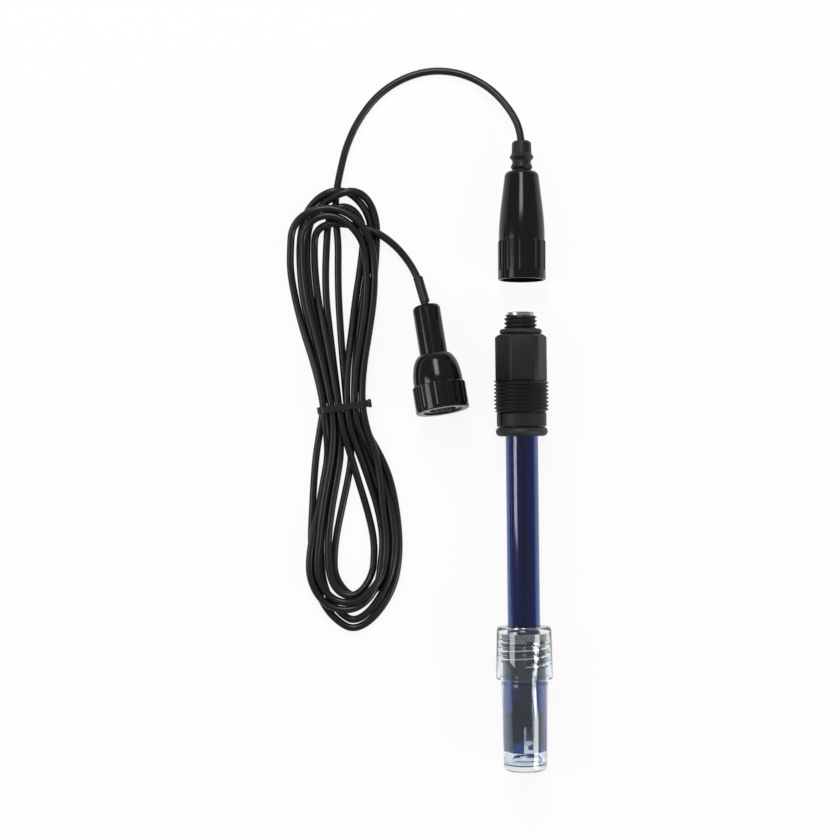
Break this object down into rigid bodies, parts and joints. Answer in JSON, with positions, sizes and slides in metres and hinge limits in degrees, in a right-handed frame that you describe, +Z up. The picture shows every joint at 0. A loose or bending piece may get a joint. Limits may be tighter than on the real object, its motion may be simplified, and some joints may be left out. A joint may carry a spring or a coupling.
{
  "type": "ph electrode",
  "caption": "Combination pH electrode with a screw head, seals, a tubular shaft and a storage vial over its tip, beside its detached coaxial lead in a tied hank.",
  "frame": {"origin": "on the surface the electrode lies on, below the middle of the electrode in its vial, without the lead", "axes": "+Y along the electrode towards its screw head, +Z up from the surface, +X to the right seen from above with the head at the top"},
  "size_m": [0.0976, 0.262, 0.0211],
  "materials": {
    "black_moulded_plastic": "satin moulded, faint parting lines",
    "black_gloss_plastic": "polished mould, glossy",
    "seal_rubber": "moulded rubber, dull",
    "boot_rubber": "soft moulded, satin",
    "cable_jacket": "extruded jacket, satin",
    "blue_shaft_plastic": "clear blue moulded plastic, glossy",
    "clear_plastic": "clear moulded plastic",
    "clear_seal": "translucent moulded ring",
    "membrane_glass": "blown glass",
    "nickel_plate": "nickel plated, turned",
    "gold_pin": "gold plated",
    "white_insulator": "turned white plastic",
    "grey_bung": "moulded rubber",
    "diaphragm_ceramic": "porous, unglazed",
    "silver_wire": "drawn silver, dulled by its coating"
  },
  "bodies": {
    "electrode": {"head_body": "black_moulded_plastic", "plug_cover": "black_gloss_plastic", "lead_insert": "black_gloss_plastic", "stub_seal": "seal_rubber", "process_seal": "seal_rubber", "lead_boot": "boot_rubber", "tail_sleeve": "boot_rubber", "hank_tie": "boot_rubber", "lead_cable": "cable_jacket", "tail_cable": "cable_jacket", "cable_hank": "cable_jacket", "shaft": "blue_shaft_plastic", "glass_electrode": "membrane_glass", "head_contact_ring": "nickel_plate", "head_contact_pin": "nickel_plate", "lead_ring_contact": "nickel_plate", "lead_centre_contact": "nickel_plate", "plug_body": "nickel_plate", "plug_washer": "nickel_plate", "plug_ferrule": "nickel_plate", "plug_pin": "gold_pin", "head_insulator": "white_insulator", "plug_insulator": "white_insulator", "upper_bung": "grey_bung", "junction_ring": "grey_bung", "plug_gasket": "grey_bung", "diaphragm": "diaphragm_ceramic", "measuring_wire": "silver_wire", "reference_wire": "silver_wire"},
    "thrust_washer": {"slide_washer": "black_moulded_plastic"},
    "socket_shell": {"lead_shell": "black_gloss_plastic"},
    "bayonet_coupling": {"plug_grip": "black_gloss_plastic", "bayonet_sleeve": "nickel_plate"},
    "vial": {"storage_vial": "clear_plastic"},
    "vial_seal_ring": {"vial_seal": "clear_seal"},
    "screw_cap": {"vial_cap": "clear_plastic"}
  },
  "joints": [
    {"name": "washer_turn", "type": "hinge", "parent": "electrode", "child": "thrust_washer", "pos_m": [0, 0.045, 0.0105], "axis": [0, 1, 0], "continuous": true},
    {"name": "shell_turn", "type": "hinge", "parent": "electrode", "child": "socket_shell", "pos_m": [0.0007, 0.0967, 0.00935], "axis": [0.0112, 0.9993, -0.0349], "continuous": true},
    {"name": "bayonet_turn", "type": "hinge", "parent": "electrode", "child": "bayonet_coupling", "pos_m": [-0.0291, 0.0485, 0.01133], "axis": [-0.1456, 0.9774, -0.153], "continuous": true},
    {"name": "vial_pull", "type": "slide", "parent": "electrode", "child": "vial", "axis": [0, -1, 0], "range_m": [0, 0.048]},
    {"name": "cap_lift", "type": "slide", "parent": "vial", "child": "vial_seal_ring", "axis": [0, 1, 0], "range_m": [0, 0.0091]},
    {"name": "cap_turn", "type": "hinge", "parent": "vial_seal_ring", "child": "screw_cap", "pos_m": [0, -0.041, 0.0105], "axis": [0, 1, 0], "range_deg": [0, 1080]}
  ],
  "couplings": [
    {"joint": "cap_lift", "follows": "cap_turn", "m_per_rad": 0.00047746}
  ]
}
